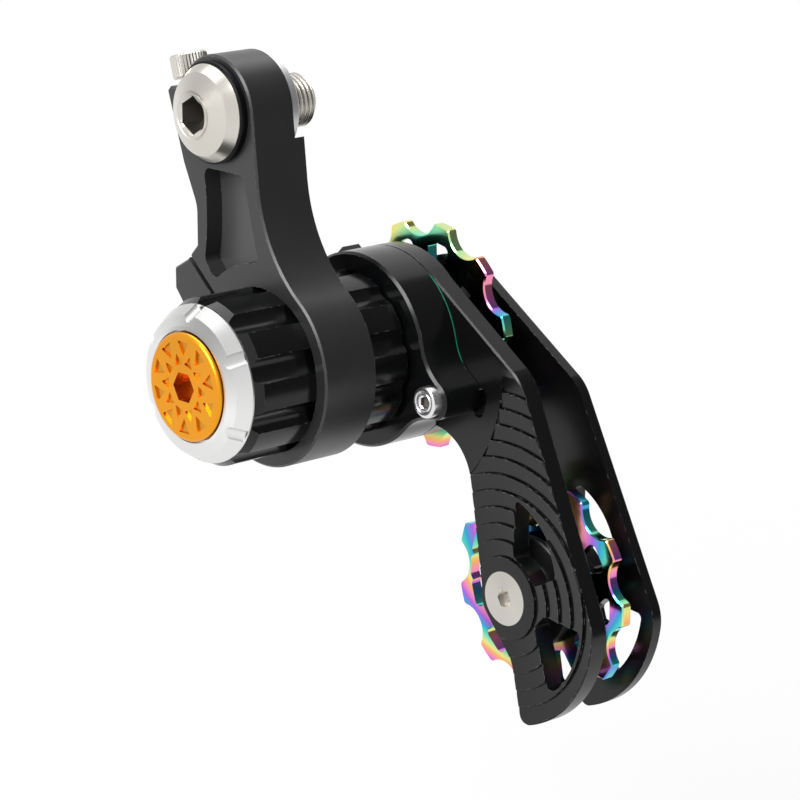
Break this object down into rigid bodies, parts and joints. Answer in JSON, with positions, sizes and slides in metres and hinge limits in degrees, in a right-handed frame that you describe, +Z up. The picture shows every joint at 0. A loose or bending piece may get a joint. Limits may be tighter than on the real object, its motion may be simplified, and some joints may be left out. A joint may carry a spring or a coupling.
{
  "type": "bicycle chain tensioner",
  "caption": "Sprung chain tensioner for a bicycle's derailleur hanger: a fluted spring barrel clamped in an arm carries a swinging cage with toothed guide pulleys.",
  "frame": {"origin": "on the hanger bolt's axis at the face that meets the frame's hanger, where the thread starts", "axes": "+X inboard along the hanger bolt, +Y towards the rear of the bicycle, +Z up"},
  "size_m": [0.0664, 0.0813, 0.1194],
  "materials": {
    "black_anodise": "satin black anodised aluminium",
    "turned_aluminium": "bright turned aluminium",
    "gold_anodise": "gold anodised aluminium",
    "stainless_bolt": "turned stainless steel",
    "polished_screw": "bright plated screws",
    "black_bolt": "black oxide steel",
    "iridescent_coat": "iridescent thin-film coat on aluminium",
    "bearing_steel": "ground bearing steel",
    "axle_steel": "turned steel",
    "spring_steel": "oiled spring steel",
    "black_cover": "black hub cover",
    "nylon_bush": "natural nylon",
    "seal_rubber": "black rubber",
    "green_shim": "thin green shim"
  },
  "bodies": {
    "mount": {"hanger_arm": "black_anodise", "hanger_bolt": "stainless_bolt", "hanger_washer": "black_bolt", "hanger_spacer": "turned_aluminium", "angle_screw": "stainless_bolt", "clamp_bolt": "black_bolt", "spring_barrel": "black_anodise", "preload_ring": "turned_aluminium", "front_bearing_outer": "bearing_steel", "barrel_bush": "nylon_bush", "barrel_seal": "seal_rubber", "torsion_spring": "spring_steel"},
    "cage": {"main_axle": "axle_steel", "end_cap": "gold_anodise", "front_bearing_inner": "bearing_steel", "cage_collar": "black_anodise", "collar_screws": "polished_screw", "cage_shim": "green_shim", "cage_front_plate": "black_anodise", "cage_rear_plate": "black_anodise", "upper_pulley_bolt": "stainless_bolt", "lower_pulley_bolt": "stainless_bolt", "upper_bearing_inner": "bearing_steel", "lower_bearing_inner": "bearing_steel", "upper_front_cover": "black_cover", "upper_rear_cover": "black_cover", "lower_front_cover": "black_cover", "lower_rear_cover": "black_cover", "upper_front_bush": "axle_steel", "upper_rear_bush": "axle_steel", "lower_front_bush": "axle_steel", "lower_rear_bush": "axle_steel"},
    "upper_wheel": {"upper_pulley": "iridescent_coat", "upper_bearing_outer": "bearing_steel"},
    "lower_wheel": {"lower_pulley": "iridescent_coat", "lower_bearing_outer": "bearing_steel"}
  },
  "joints": [
    {"name": "cage_swing", "type": "hinge", "parent": "mount", "child": "cage", "pos_m": [0, -0.0121, -0.0447], "axis": [1, 0, 0], "range_deg": [-60, 0], "stiffness_Nm_per_rad": 0.6, "springref_deg": 85.94, "deforming": ["torsion_spring"]},
    {"name": "upper_pulley_spin", "type": "hinge", "parent": "cage", "child": "upper_wheel", "pos_m": [0.0291, -0.0121, -0.0447], "axis": [1, 0, 0], "continuous": true},
    {"name": "lower_pulley_spin", "type": "hinge", "parent": "cage", "child": "lower_wheel", "pos_m": [0.0291, -0.0425, -0.0866], "axis": [1, 0, 0], "continuous": true}
  ]
}
